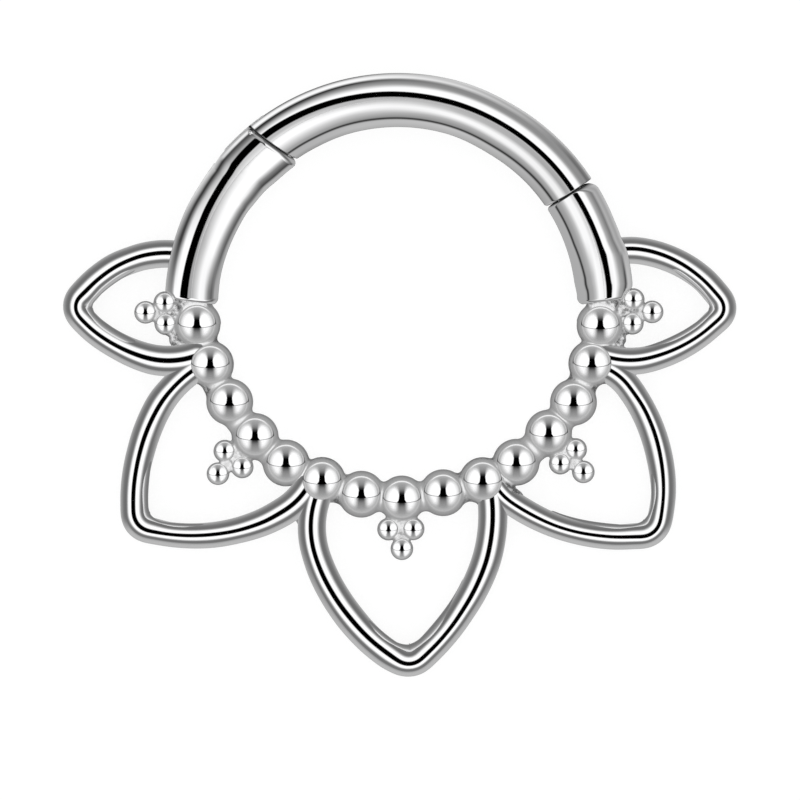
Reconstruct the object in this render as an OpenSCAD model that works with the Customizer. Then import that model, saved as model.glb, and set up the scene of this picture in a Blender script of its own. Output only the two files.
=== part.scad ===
// Hinged clicker ring: a round polished tube whose upper part swings open on a hidden pin,
// and below it one casting of domed beads, open pointed petals and trios of small balls.
// The ring lies on its back: the ring plane is XY, the front faces +Z, z = 0 is the surface.
// The origin is the ring's centre.

/* [Tube] */
// Diameter of the round tube (16 gauge)
tube_d = 1.2; // [1.1:0.05:1.3]
// Radius of the tube's centre line
ring_r = 4.6; // [4.5:0.05:4.7]
// Height of the tube's underside over the surface
tube_lift = 0.02; // [0.01:0.01:0.05]
// Level below the ring's centre that the shoulders' lower end faces point at
end_aim = 0.5; // [0:0.1:1]
// Level of the shoulders' lower ends at the tube's centre line
end_y = 0.10; // [0.05:0.05:0.2]

/* [Seams] */
// Gap between the segment and each shoulder
seam_gap = 0.035; // [0.02:0.005:0.06]
// Direction of the hinge seam, from the outside inwards, in degrees
hinge_seam_dir = -36; // [-40:1:-32]
// A point on the hinge seam, x
hinge_seam_x = -2.82; // [-2.9:0.01:-2.7]
// A point on the hinge seam, y
hinge_seam_y = 3.56; // [3.5:0.01:3.6]
// Direction of the closing seam, from the inside outwards, in degrees
close_seam_dir = 32; // [28:1:36]
// How far the closing seam passes beside the ring's centre
close_seam_off = 0.125; // [0:0.025:0.2]
// Rounding of the right shoulder's outer corner at the closing seam
close_round = 0.20; // [0.1:0.05:0.3]

/* [Hinge] */
// Angle of the hinge pin around the ring, in degrees
pin_a = 138; // [137:0.5:139]
// Distance of the hinge pin from the ring's centre
pin_rr = 4.95; // [4.93:0.01:4.97]
// Diameter of the hinge pin
pin_d = 0.24; // [0.2:0.01:0.26]
// Clearance between the pin and the tongue's eye, on the radius
pin_gap = 0.02; // [0.015:0.005:0.03]
// Radius of the tongue's eye
eye_r = 0.23; // [0.21:0.01:0.24]
// Thickness of the hinge tongue
tongue_t = 0.34; // [0.3:0.02:0.4]
// Room beside and behind the tongue
tongue_gap = 0.03; // [0.02:0.005:0.04]
// Metal left over the blind end of the pin, at the front
pin_cover = 0.12; // [0.08:0.02:0.16]

/* [Closing lip] */
// Thickness of the closing lip
lip_t = 0.30; // [0.24:0.02:0.36]
// Length of the closing lip past the segment's end face
lip_l = 0.20; // [0.14:0.02:0.24]
// Wall left on the inner side of the notch, from the tube's centre line
lip_in = 0.30; // [0.2:0.05:0.35]

/* [Bead row] */
// Number of beads
bead_n = 15; // [15:2:15]
// Radius of the bead row
row_r = 4.53; // [4.5:0.01:4.56]
// Centre of the bead row, x
row_x = 0.05; // [0:0.01:0.1]
// Centre of the bead row, y
row_y = 0.26; // [0.2:0.02:0.3]
// Angle of the middle bead, in degrees
row_mid = 270.4; // [269.5:0.1:271]
// Angle from bead to bead, in degrees
row_step = 11.6; // [11.5:0.05:11.7]
// Radius of a bead's dome
dome_r = 0.43; // [0.4:0.01:0.44]
// Height of a dome's centre
dome_z = 0.62; // [0.56:0.02:0.66]
// Radius of the disc under a dome
disc_r = 0.53; // [0.5:0.01:0.54]
// Height of the disc
disc_h = 0.50; // [0.44:0.02:0.56]
// Rounding of the disc's upper edge
disc_round = 0.14; // [0.1:0.02:0.16]
// Radius of the rail that joins the discs
rail_r = 0.34; // [0.3:0.01:0.36]

/* [Petals] */
// Diameter of the petal wire
wire_d = 0.60; // [0.56:0.01:0.64]
// Height of the wire's underside over the surface
wire_lift = 0.03; // [0.02:0.01:0.05]

/* [Ball trios] */
// Radius of a ball
ball_r = 0.26; // [0.24:0.01:0.27]
// Height of a ball's centre
ball_z = 0.42; // [0.38:0.02:0.46]
// Half the distance between the two inner balls
ball_half = 0.255; // [0.24:0.005:0.27]
// Distance of the outer ball from the middle of the inner pair
ball_out = 0.44; // [0.4:0.01:0.48]

/* [Hidden] */
$fn = 64;

tube_r = tube_d / 2;
tube_z = tube_lift + tube_r;
wire_r = wire_d / 2;
wire_z = wire_lift + wire_r;
pin_x = pin_rr * cos(pin_a);
pin_y = pin_rr * sin(pin_a);
pin_r = pin_d / 2;
// half thickness of the tube over the pin
pin_half = sqrt(tube_r * tube_r - (pin_rr - ring_r) * (pin_rr - ring_r));
pin_top = tube_z + pin_half - pin_cover;
pin_low = tube_z - pin_half + 0.03;
// wall around the wires' joints
knot_r = wire_r + 0.002;
knot_gap = 0.02;

// Petals, one row each, worked from the tip back to the bead row. The first leg is the one
// that turns anticlockwise from the tip, the second the one that turns clockwise.
// [tip x, tip y, direction the tip points in, tip radius, turn of the tip to leg 1, to leg 2,
//  leg 1: long radius, turn, short radius, turn,  leg 2: long radius, turn, short radius, turn]
PETALS = [
    [-7.17,  0.00, 181.0, 0.36, 43, 42,  3.35, 29, 1.80, 38,  3.25, 27, 1.80, 36],
    [-5.76, -4.88, 224.5, 0.46, 34, 40,  4.40, 39, 1.50, 34,  3.85, 40, 2.55, 22],
    [ 0.28, -7.96, 274.5, 0.42, 37, 37,  4.70, 33, 3.50, 26,  4.65, 36, 2.05, 46],
    [ 5.69, -5.05, 310.5, 0.44, 41, 38,  4.05, 44, 1.20, 40,  4.70, 37, 1.15, 33],
    [ 7.26, -0.07, -2.5, 0.36, 41, 44,  3.30, 30, 1.70, 36,  3.35, 31, 1.80, 34],
];

// Trios, one row each: [middle of the inner pair x, y, direction the trio points in]
TRIOS = [
    [-5.20, -0.17, 180],
    [-3.66, -3.40, 226],
    [ 0.08, -4.99, 273],
    [ 3.80, -3.35, 316],
    [ 5.25, -0.14,   0],
];

function bead_a(i) = row_mid + (i - (bead_n - 1) / 2) * row_step;
function bead_x(i) = row_x + row_r * cos(bead_a(i));
function bead_y(i) = row_y + row_r * sin(bead_a(i));

// One tangent arc of a wire: s is +1 when it turns anticlockwise, -1 when clockwise.
// State: [x, y, heading]
function arc_cx(p, r, s) = p[0] + r * cos(p[2] + 90 * s);
function arc_cy(p, r, s) = p[1] + r * sin(p[2] + 90 * s);
function arc_end(p, r, a, s) = [
    arc_cx(p, r, s) + r * cos(p[2] - 90 * s + s * a),
    arc_cy(p, r, s) + r * sin(p[2] - 90 * s + s * a),
    p[2] + s * a
];

// A torus sector about the Z axis: centre line radius r, section radius q, from a0 to a1
module sector(r, q, a0, a1)
    rotate([0, 0, a0]) rotate_extrude(angle = a1 - a0, $fn = 180)
        translate([r, 0]) circle(r = q, $fn = 48);

// One arc of a wire, short of both ends by g, so that the knots join it to its neighbours
module wire_arc(p, r, a, s, g0, g1) {
    d0 = g0 / r * 57.29578;
    d1 = g1 / r * 57.29578;
    a0 = p[2] - 90 * s;
    translate([arc_cx(p, r, s), arc_cy(p, r, s), wire_z])
        if (s > 0) sector(r, wire_r, a0 + d0, a0 + a - d1);
        else sector(r, wire_r, a0 - a + d1, a0 - d0);
}

// p: x, y and the wire's heading there
module knot(p) translate([p[0], p[1], wire_z]) rotate([0, 90, p[2]]) sphere(r = knot_r, $fn = 48);

module leg(p, h, tip_r, r1, a1, r2, a2, s) {
    p1 = arc_end(p, tip_r, h, s);
    p2 = arc_end(p1, r1, a1, s);
    wire_arc(p, tip_r, h, s, knot_gap, knot_gap);
    knot(p1);
    wire_arc(p1, r1, a1, s, knot_gap, knot_gap);
    knot(p2);
    wire_arc(p2, r2, a2, s, knot_gap, 0);
}

module petal(q) {
    knot([q[0], q[1], q[2] + 90]);
    leg([q[0], q[1], q[2] + 90], q[4], q[3], q[6], q[7], q[8], q[9], 1);
    leg([q[0], q[1], q[2] - 90], q[5], q[3], q[10], q[11], q[12], q[13], -1);
}

// A bead: a dome on a disc with a rounded upper edge
module bead(x, y) translate([x, y, 0]) {
    translate([0, 0, dome_z]) sphere(r = dome_r, $fn = 64);
    rotate_extrude($fn = 64) union() {
        square([disc_r - disc_round, disc_h]);
        square([disc_r, disc_h - disc_round]);
        translate([disc_r - disc_round, disc_h - disc_round]) circle(r = disc_round, $fn = 48);
    }
}

module trio(q) translate([q[0], q[1], 0]) rotate([0, 0, q[2]]) {
    for (b = [[0, -ball_half], [0, ball_half], [ball_out, 0]]) translate([b[0], b[1], 0]) {
        translate([0, 0, ball_z]) sphere(r = ball_r, $fn = 48);
        translate([0, 0, 0.05]) cylinder(r = ball_r - 0.06, h = ball_z - 0.05, $fn = 48);
    }
    translate([0.13, 0, 0.07]) cylinder(r = 0.21, h = 0.30, $fn = 48);
    translate([-0.15, 0, 0.06]) cylinder(r = 0.24, h = 0.34, $fn = 48);
}

// Everything on one side of a line in plan: the side that lies to the left of direction a
module left_of(x, y, a)
    translate([x, y, -1]) rotate([0, 0, a]) translate([-10, 0, 0]) cube([20, 20, 4]);

// The wedge-shaped ends of the shoulders: a plan line through the aim point below the centre
module tube_sector(a0, a1) translate([0, 0, tube_z]) sector(ring_r, tube_r, a0, a1);

module left_shoulder() difference() {
    intersection() {
        tube_sector(120, 190);
        left_of(-ring_r, end_y, atan2(end_y + end_aim, -ring_r) + 180);
    }
    // hinge seam
    translate([hinge_seam_x, hinge_seam_y, 0]) rotate([0, 0, hinge_seam_dir])
        translate([-10, -seam_gap / 2, -1]) cube([20, 20, 4]);
    // slot for the tongue, open inwards, outwards and at the seam
    translate([pin_x, pin_y, tube_z - tongue_t / 2 - tongue_gap]) rotate([0, 0, pin_a - 90])
        translate([-eye_r - tongue_gap - 0.01, -3, 0]) cube([3, 6, tongue_t + 2 * tongue_gap]);
    // blind hole for the pin, from the back
    translate([pin_x, pin_y, -0.5]) cylinder(r = pin_r, h = pin_top + 0.5, $fn = 48);
}

module right_shoulder() difference() {
    intersection() {
        tube_sector(-10, 40);
        left_of(ring_r, end_y, atan2(end_y + end_aim, ring_r));
        // closing seam
        rotate([0, 0, close_seam_dir]) translate([-10, close_seam_off - seam_gap / 2 - 20, -1])
            cube([20, 20, 4]);
    }
    // rounded outer corner at the closing seam
    rotate([0, 0, close_seam_dir])
        translate([ring_r + tube_r - close_round, close_seam_off - seam_gap / 2 - close_round, -1])
            difference() {
                cube([1, 1, 4]);
                translate([0, 0, -1]) cylinder(r = close_round, h = 6, $fn = 48);
            }
    // notch for the closing lip, open outwards
    rotate([0, 0, close_seam_dir])
        translate([ring_r - lip_in - tongue_gap, close_seam_off - lip_l - 0.04,
                   tube_z - lip_t / 2 - tongue_gap])
            cube([3, 3, lip_t + 2 * tongue_gap]);
}

module ring_body() color("silver") union() {
    left_shoulder();
    right_shoulder();
    // rail under the beads, run on into both shoulders
    translate([row_x, row_y, 0.04 + rail_r])
        sector(row_r, rail_r, bead_a(0) - 9, bead_a(bead_n - 1) + 9);
    for (i = [0 : bead_n - 1]) bead(bead_x(i), bead_y(i));
    for (q = PETALS) petal(q);
    for (q = TRIOS) trio(q);
    // solder between each shoulder's end, the first bead and the trio beside it
    translate([-4.93, 0.02, 0.05]) cylinder(r = 0.30, h = 0.42, $fn = 48);
    translate([4.98, 0.05, 0.05]) cylinder(r = 0.30, h = 0.42, $fn = 48);
}

module hinged_segment() color("silver") difference() {
    union() {
        intersection() {
            tube_sector(20, 140);
            translate([hinge_seam_x, hinge_seam_y, 0]) rotate([0, 0, hinge_seam_dir])
                translate([-10, seam_gap / 2, -1]) cube([20, 20, 4]);
            rotate([0, 0, close_seam_dir])
                translate([-10, close_seam_off + seam_gap / 2, -1]) cube([20, 20, 4]);
        }
        // hinge tongue with its eye
        intersection() {
            tube_sector(118, 150);
            translate([pin_x, pin_y, tube_z - tongue_t / 2]) rotate([0, 0, pin_a - 90]) union() {
                cylinder(r = eye_r, h = tongue_t, $fn = 64);
                translate([0, -3, 0]) cube([1.15, 6, tongue_t]);
                translate([-eye_r, -3, 0]) cube([1, 3, tongue_t]);
            }
        }
        // closing lip
        intersection() {
            tube_sector(20, 45);
            rotate([0, 0, close_seam_dir])
                translate([ring_r - lip_in, close_seam_off - lip_l, tube_z - lip_t / 2])
                    cube([2, lip_l + 0.3, lip_t]);
        }
    }
    translate([pin_x, pin_y, -1]) cylinder(r = pin_r + pin_gap, h = 4, $fn = 48);
}

module hinge_pin() color("gray")
    translate([pin_x, pin_y, pin_low]) cylinder(r = pin_r, h = pin_top - pin_low, $fn = 48);

ring_body();
hinged_segment();
hinge_pin();
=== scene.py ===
import math
import random

import bpy
import numpy as np
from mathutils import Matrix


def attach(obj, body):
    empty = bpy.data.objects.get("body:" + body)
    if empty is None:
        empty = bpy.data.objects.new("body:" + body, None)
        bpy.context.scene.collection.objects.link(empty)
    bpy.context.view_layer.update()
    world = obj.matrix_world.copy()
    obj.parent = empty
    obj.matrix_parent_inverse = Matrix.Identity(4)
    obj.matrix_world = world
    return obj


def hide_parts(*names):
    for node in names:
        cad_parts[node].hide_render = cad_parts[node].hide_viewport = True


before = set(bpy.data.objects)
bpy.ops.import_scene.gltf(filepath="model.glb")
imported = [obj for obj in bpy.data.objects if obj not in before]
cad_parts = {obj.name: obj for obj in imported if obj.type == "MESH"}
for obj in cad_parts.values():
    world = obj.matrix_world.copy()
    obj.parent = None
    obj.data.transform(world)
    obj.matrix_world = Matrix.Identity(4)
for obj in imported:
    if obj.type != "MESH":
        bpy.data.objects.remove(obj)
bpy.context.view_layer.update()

MM = 0.001
random.seed(7)

# ---------------------------------------------------------------------------------------
# Sizes, in millimetres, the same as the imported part's
# ---------------------------------------------------------------------------------------
RING_R, TUBE_R, TUBE_Z = 4.6, 0.6, 0.62
GAP = 0.035
HINGE_A, HINGE_P = math.radians(-36.0), (-2.77, 3.63)
CLOSE_A, CLOSE_OFF = math.radians(32.0), 0.107
PIN_A, PIN_RR = math.radians(138.0), 4.95
PIN_X, PIN_Y = PIN_RR * math.cos(PIN_A), PIN_RR * math.sin(PIN_A)
PIN_HALF = math.sqrt(TUBE_R ** 2 - (PIN_RR - RING_R) ** 2)
PIN_TOP = TUBE_Z + PIN_HALF - 0.12
TONGUE_T, TONGUE_GAP, EYE_R, BORE_R = 0.34, 0.03, 0.23, 0.14
LIP_T, LIP_L, LIP_IN = 0.30, 0.20, 0.30
END_Y, END_AIM = 0.10, 0.5

BEADS, ROW_R, ROW_X, ROW_Y, ROW_MID, ROW_STEP = 15, 4.53, 0.05, 0.26, 270.4, 11.6
DOME_R, DOME_Z, DISC_R, DISC_H, RAIL_R = 0.43, 0.62, 0.53, 0.50, 0.34
WIRE_R, WIRE_Z = 0.30, 0.33
BALL_R, BALL_Z, BALL_HALF, BALL_OUT = 0.26, 0.42, 0.255, 0.44

PETALS = [
    [-7.17, 0.00, 181.0, 0.36, 43, 42, 3.35, 29, 1.80, 38, 3.25, 27, 1.80, 36],
    [-5.76, -4.88, 224.5, 0.46, 34, 40, 4.40, 39, 1.50, 34, 3.85, 40, 2.55, 22],
    [0.28, -7.96, 274.5, 0.42, 37, 37, 4.70, 33, 3.50, 26, 4.65, 36, 2.05, 46],
    [5.69, -5.05, 310.5, 0.44, 41, 38, 4.05, 44, 1.20, 40, 4.70, 37, 1.15, 33],
    [7.26, -0.07, -2.5, 0.36, 41, 44, 3.30, 30, 1.70, 36, 3.35, 31, 1.80, 34],
]
TRIOS = [
    [-5.20, -0.17, 180.0],
    [-3.66, -3.40, 226.0],
    [0.08, -4.99, 273.0],
    [3.80, -3.35, 316.0],
    [5.25, -0.14, 0.0],
]
# the beads and balls are set by hand, so each sits a little off its even place
BEAD_OFF = [
    (-0.05, 0.06), (0.01, 0.05), (0.03, 0.03), (0.03, -0.02), (0.02, -0.02), (0.02, 0.03), (0.02, -0.01), (0.01, -0.03),
    (0.02, 0.01), (0.03, 0.0), (-0.02, -0.04), (0.01, 0.01), (0.01, -0.03), (0.02, 0.01), (-0.02, -0.03),
]
BEAD_XY = np.array([
    (
        ROW_X + ROW_R * math.cos(math.radians(ROW_MID + (i - 7) * ROW_STEP)) + BEAD_OFF[i][0],
        ROW_Y + ROW_R * math.sin(math.radians(ROW_MID + (i - 7) * ROW_STEP)) + BEAD_OFF[i][1],
    )
    for i in range(BEADS)
])
BALL_OFF = [
    [(0.01, -0.01), (0.03, 0.03), (0.02, 0.03)],
    [(-0.01, -0.01), (0.01, -0.01), (-0.04, -0.02)],
    [(-0.03, 0.03), (0.01, 0.01), (-0.01, 0.02)],
    [(0.0, 0.03), (-0.01, -0.03), (0.02, -0.04)],
    [(-0.02, 0.01), (0.0, 0.03), (-0.02, 0.01)],
]
SEAM_LEAN, CLOSE_LEAN = 0.09, 0.05  # the seams lean a little, so that one cannot see through them
SEAM_GAP = 0.030
SLOT_HALF, SLOT_WALL = 0.15, 4.09
# solder: x, y, radius and height of the small masses that join tube, beads, trios and petals
SOLDER = [
    (-4.93, 0.02, 0.28, 0.46), (4.98, 0.05, 0.28, 0.46), (-4.55, 0.04, 0.33, 0.60), (4.57, 0.05, 0.33, 0.60),
    (-4.85, -0.71, 0.25, 0.34), (4.84, -0.72, 0.25, 0.34),
]


# ---------------------------------------------------------------------------------------
# Distance fields: below zero inside, in millimetres
# ---------------------------------------------------------------------------------------
def round_union(a, b, r):
    u, v = np.maximum(r - a, 0.0), np.maximum(r - b, 0.0)
    return np.maximum(r, np.minimum(a, b)) - np.hypot(u, v)


def round_common(a, b, r):
    u, v = np.maximum(r + a, 0.0), np.maximum(r + b, 0.0)
    return np.minimum(-r, np.maximum(a, b)) + np.hypot(u, v)


def smooth_step(lo, hi, t):
    t = np.clip((t - lo) / (hi - lo), 0.0, 1.0)
    return t * t * (3.0 - 2.0 * t)


def arc_tube(x, y, z, arc, r, zc):
    """A round wire along an arc in plan: arc is (cx, cy, radius, start angle, end angle)."""
    cx, cy, rc, a0, a1 = arc
    dx, dy = x - cx, y - cy
    ang = np.arctan2(dy, dx)
    mid, half = 0.5 * (a0 + a1), 0.5 * (a1 - a0)
    off = (ang - mid + math.pi) % (2 * math.pi) - math.pi
    near = np.clip(off, -half, half) + mid
    qx, qy = cx + rc * np.cos(near), cy + rc * np.sin(near)
    return np.sqrt((x - qx) ** 2 + (y - qy) ** 2 + (z - zc) ** 2) - r


def leg_arcs(tip, turn, tip_r, r1, a1, r2, a2, s):
    """The three tangent arcs of one leg, from the tip to the root, and the leg's last point."""
    px, py, h = tip
    arcs = []
    for r, a in ((tip_r, turn), (r1, a1), (r2, a2)):
        n = math.radians(h + 90 * s)
        cx, cy = px + r * math.cos(n), py + r * math.sin(n)
        start = math.radians(h - 90 * s)
        end = start + s * math.radians(a)
        arcs.append((cx, cy, r, min(start, end), max(start, end)))
        px, py, h = cx + r * math.cos(end), cy + r * math.sin(end), h + s * a
    return arcs, (px, py, h)


LEGS = []
for q in PETALS:
    LEGS.append(
        (
            leg_arcs((q[0], q[1], q[2] + 90), q[4], q[3], q[6], q[7], q[8], q[9], 1),
            leg_arcs((q[0], q[1], q[2] - 90), q[5], q[3], q[10], q[11], q[12], q[13], -1),
        )
    )


def lumps(x, y):
    """The unevenness of soldered places."""
    a = np.sin(27.0 * x + 9.0 * y + 1.0) * np.sin(-11.0 * x + 24.0 * y)
    return 0.010 * a + 0.006 * np.sin(47.0 * x - 21.0 * y) * np.sin(19.0 * x + 51.0 * y + 2.0)


# how each wire, bent and cast by hand, leaves its arcs: the way from the tip's middle, below zero on leg one, then
# the shift outwards and the change of the outer and of the inner half width
BENDS = [
    [(-2.2, 0.017, 0.05, 0.03), (-1.3, 0.03, -0.01, 0.02), (-0.7, 0.036, -0.02, 0.014), (-0.35, 0.03, -0.03, 0.03), (0.0, 0.02, -0.022, -0.01),
     (0.35, -0.04, 0.02, 0.02), (0.7, -0.04, 0.03, -0.022), (1.3, -0.03, 0.018, -0.005), (1.7, -0.037, -0.018, 0.025), (2.2, -0.06, -0.02, 0.04)],
    [(-3.3, 0.0, 0.04, 0.01), (-2.9, 0.035, 0.014, 0.01), (-2.2, 0.038, -0.01, -0.01), (-1.7, 0.02, 0.005, -0.03), (-0.7, 0.012, -0.022, -0.027),
     (-0.3, 0.01, -0.03, 0.02), (0.0, 0.028, -0.012, 0.03), (0.4, 0.0, -0.018, 0.025), (1.3, -0.018, -0.006, 0.018), (1.7, -0.01, -0.01, 0.034),
     (2.2, 0.001, 0.005, 0.03), (2.9, 0.01, 0.033, 0.003), (3.3, 0.0, 0.02, -0.01)],
    [(-3.3, 0.05, 0.03, 0.024), (-2.9, 0.06, 0.022, 0.034), (-2.2, 0.043, 0.0, 0.038), (-1.7, 0.024, -0.015, 0.034), (-1.0, 0.016, -0.02, 0.012),
     (-0.4, 0.012, -0.02, 0.03), (-0.1, 0.026, -0.024, 0.03), (0.1, 0.028, -0.022, 0.03), (0.5, 0.004, 0.043, 0.02), (1.0, 0.01, 0.04, 0.01),
     (1.7, 0.006, 0.032, 0.036), (2.2, 0.014, 0.01, 0.05), (2.9, 0.013, -0.007, 0.055), (3.3, 0.0, -0.02, 0.05)],
    [(-3.3, 0.05, -0.03, 0.02), (-2.9, 0.084, -0.06, 0.045), (-2.2, 0.08, -0.05, 0.045), (-1.7, 0.061, -0.032, 0.026), (-1.3, 0.05, -0.022, 0.0),
     (-0.9, 0.036, -0.02, -0.03), (-0.4, 0.02, -0.035, 0.0), (0.0, 0.016, -0.045, 0.03), (0.4, -0.017, -0.028, 0.01), (0.9, 0.0, -0.012, -0.03),
     (1.3, 0.012, -0.01, -0.045), (1.7, 0.036, -0.024, -0.037), (2.2, 0.051, -0.025, -0.036), (2.9, 0.045, -0.01, -0.025)],
    [(-2.2, -0.01, -0.05, 0.05), (-1.7, 0.013, -0.034, 0.03), (-1.3, 0.015, -0.012, 0.0), (-0.8, 0.006, 0.008, -0.034), (-0.35, 0.001, -0.008, -0.01),
     (0.0, 0.022, -0.02, -0.015), (0.35, -0.013, -0.03, 0.01), (0.7, -0.003, -0.024, -0.02), (1.3, 0.0, 0.0, -0.03), (2.2, 0.0, 0.035, -0.035)],
]
FINE = np.linspace(-4.5, 4.5, 901)
BELL = np.hanning(49) / np.hanning(49).sum()
BENT = [
    [np.convolve(np.pad(np.interp(FINE, np.array(rows)[:, 0], np.array(rows)[:, c]), 24, mode="edge"), BELL, "valid") for c in (1, 2, 3)]
    for rows in BENDS
]


def bent(i, way, col):
    return np.interp(way, FINE, BENT[i][col])


def wire_path(i, step=0.035):
    """The middle line of a petal's wire in plan, root to root, and each point's way from the tip's middle."""
    (arcs1, _), (arcs2, _) = LEGS[i]
    way = -sum(rc * (a1 - a0) for _, _, rc, a0, a1 in arcs1)
    out = []
    for cx, cy, rc, a0, a1 in arcs1[::-1] + arcs2:
        n = max(2, round(rc * (a1 - a0) / step))
        for k in range(n):
            a = a1 + (a0 - a1) * k / n
            w = way + rc * (a1 - a)
            r = rc + bent(i, w, 0)
            out.append((cx + r * math.cos(a), cy + r * math.sin(a), w))
        way += rc * (a1 - a0)
    out = np.array(out)
    half = round(0.17 / step)
    return np.stack([eased(out[:, 0], half), eased(out[:, 1], half)], 1), out[:, 2]


# the cast ledge round the inside of each tip: the reach of its outline from the wire's arcs and the distance of its
# crease from the wire's middle line, on leg one and leg two, the crease at the tip, then the rounding of the outline,
# and where the ledge fades along the legs
LEDGES = [
    [0.285, 0.155, 0.330, 0.185, 0.215, 0.24, 1.0, 2.5],
    [0.250, 0.180, 0.345, 0.205, 0.232, 0.28, 0.6, 2.2],
    [0.352, 0.208, 0.305, 0.198, 0.262, 0.365, 0.6, 2.2],
    [0.232, 0.168, 0.288, 0.185, 0.238, 0.41, 0.6, 2.2],
    [0.235, 0.158, 0.290, 0.178, 0.202, 0.26, 1.0, 2.5],
]


def ledge(i, x, y):
    """The low cast roll round the inside of a tip: above zero inside its outline in plan, then the distance of its
    crease from the wire's middle line and how far it has faded."""
    w1, c1, w2, c2, ct, corner, fade0, fade1 = LEDGES[i]
    reach, along = [], []
    for (cx, cy, rc, a0, a1), s in ((LEGS[i][0][0][1], 1), (LEGS[i][1][0][1], -1)):
        off = (np.arctan2(y - cy, x - cx) - 0.5 * (a0 + a1) + math.pi) % (2 * math.pi) - math.pi
        along.append((s * off + 0.5 * (a1 - a0)) * rc)
        reach.append(rc - np.hypot(x - cx, y - cy))
    a, b = reach[0] - w1, reach[1] - w2
    one = a < b
    near = np.where(one, along[0], along[1])
    crease = ct + (np.where(one, c1, c2) - ct) * smooth_step(-0.1, 0.6, near)
    fade = smooth_step(fade0, fade1, near)
    return round_union(a, b, corner) + 0.05 * fade, crease, fade


def eased(values, half):
    """A row of numbers smoothed along its length."""
    bell = np.hanning(2 * half + 3)[1:-1]
    return np.convolve(np.pad(values, half, mode="reflect", reflect_type="odd"), bell / bell.sum(), "valid")


def square(line):
    """The direction across a line in plan, to its right."""
    t = np.gradient(line, axis=0)
    t /= np.linalg.norm(t, axis=1, keepdims=True)
    return np.stack([t[:, 1], -t[:, 0]], 1)


BALL_XY = []
for (tx, ty, ta), offs in zip(TRIOS, BALL_OFF):
    c, s = math.cos(math.radians(ta)), math.sin(math.radians(ta))
    BALL_XY.append([
        (tx + bu * c - bv * s + ox, ty + bu * s + bv * c + oy)
        for (bu, bv), (ox, oy) in zip(((0.0, -BALL_HALF), (0.0, BALL_HALF), (BALL_OUT, 0.0)), offs)
    ])


def collar(d, z):
    """The collar under a dome: it slopes down all round from the dome, on a flat underside."""
    f = np.hypot(d, np.maximum(z - 0.20, 0.0)) - (DISC_R - 0.008)
    return round_common(f, -z, 0.03)


def band_field(x, y, z):
    """The scalloped band under the domes with the roots, stems and solder that hang on it."""
    ang = np.degrees(np.arctan2(y - ROW_Y, x - ROW_X)) % 360.0
    t = (ang - ROW_MID) / ROW_STEP + 7.0
    t = np.where(ang < 90.0, (ang + 360.0 - ROW_MID) / ROW_STEP + 7.0, t)
    i0 = np.clip(np.round(t), 0, BEADS - 1)
    i1 = np.clip(np.where(t > i0, i0 + 1, i0 - 1), 0, BEADS - 1)
    d = []
    for i in (i0.astype(int), i1.astype(int)):
        d.append(np.hypot(x - BEAD_XY[i, 0], y - BEAD_XY[i, 1]))
    f = round_union(collar(d[0], z), collar(d[1], z), 0.035)
    rail = arc_tube(
        x, y, z,
        (ROW_X, ROW_Y, ROW_R, math.radians(ROW_MID - 7 * ROW_STEP - 9), math.radians(ROW_MID + 7 * ROW_STEP + 9)),
        RAIL_R, 0.15,
    )
    f = round_union(f, round_common(rail, -z, 0.03), 0.05)
    # roots of the petal wires: a thinner core, so that only the fillet beside the disc shows
    for i in range(len(PETALS)):
        (arcs1, e1), (arcs2, e2) = LEGS[i]
        for arcs in (arcs1, arcs2):
            root = arc_tube(x, y, z, arcs[2], WIRE_R - 0.035, WIRE_Z)
            root = np.maximum(root, f - 0.25)
            f = round_union(f, root, 0.08)
    # low webs in the crotches between neighbouring petals
    bumps = lumps(x, y)
    for i in range(len(PETALS) - 1):
        (arcs1, e1), (arcs2, e2) = LEGS[i][0], LEGS[i + 1][1]
        web = round_union(
            arc_tube(x, y, z, arcs1[2], WIRE_R - 0.03, WIRE_Z), arc_tube(x, y, z, arcs2[2], WIRE_R - 0.03, WIRE_Z), 0.22
        )
        ball = np.hypot(x - 0.5 * (e1[0] + e2[0]), y - 0.5 * (e1[1] + e2[1])) - 0.95
        web = round_common(round_common(web, np.abs(z - 0.24) - 0.15 + bumps, 0.05), ball, 0.05)
        f = np.minimum(f, web)
    # trios: short posts and the webs that the solder leaves between the balls
    for spots, (tx, ty, ta) in zip(BALL_XY, TRIOS):
        c, s = math.cos(math.radians(ta)), math.sin(math.radians(ta))
        u, v = (x - tx) * c + (y - ty) * s, -(x - tx) * s + (y - ty) * c
        w = None
        for bx, by in spots:
            d = np.hypot(x - bx, y - by)
            post = np.minimum(np.maximum(d - 0.165, np.abs(z - 0.24) - 0.17), np.hypot(d, np.maximum(z - 0.22, 0.0)) - 0.252)
            w = post if w is None else round_union(w, post, 0.03)
        for bu, br, top in ((0.13, 0.20, 0.36), (-0.15, 0.24, 0.40)):
            web = round_common(np.hypot(u - bu, v) - br, np.abs(z - top / 2 - 0.03) - (top / 2 - 0.03) + bumps, 0.06)
            w = round_union(w, web, 0.05)
        f = round_union(f, w, 0.07)
    # solder between the tube's two lower ends, the first bead, the trio and the petal beside it
    for sx, sy, sr, top in SOLDER:
        blob = np.hypot(x - sx, y - sy) - sr + 0.6 * bumps
        blob = round_common(blob, np.abs(z - top / 2 - 0.02) - (top / 2 - 0.02) + bumps, 0.10)
        f = round_union(f, blob, 0.10)
    f = round_common(f, -z, 0.03)
    return f


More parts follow.
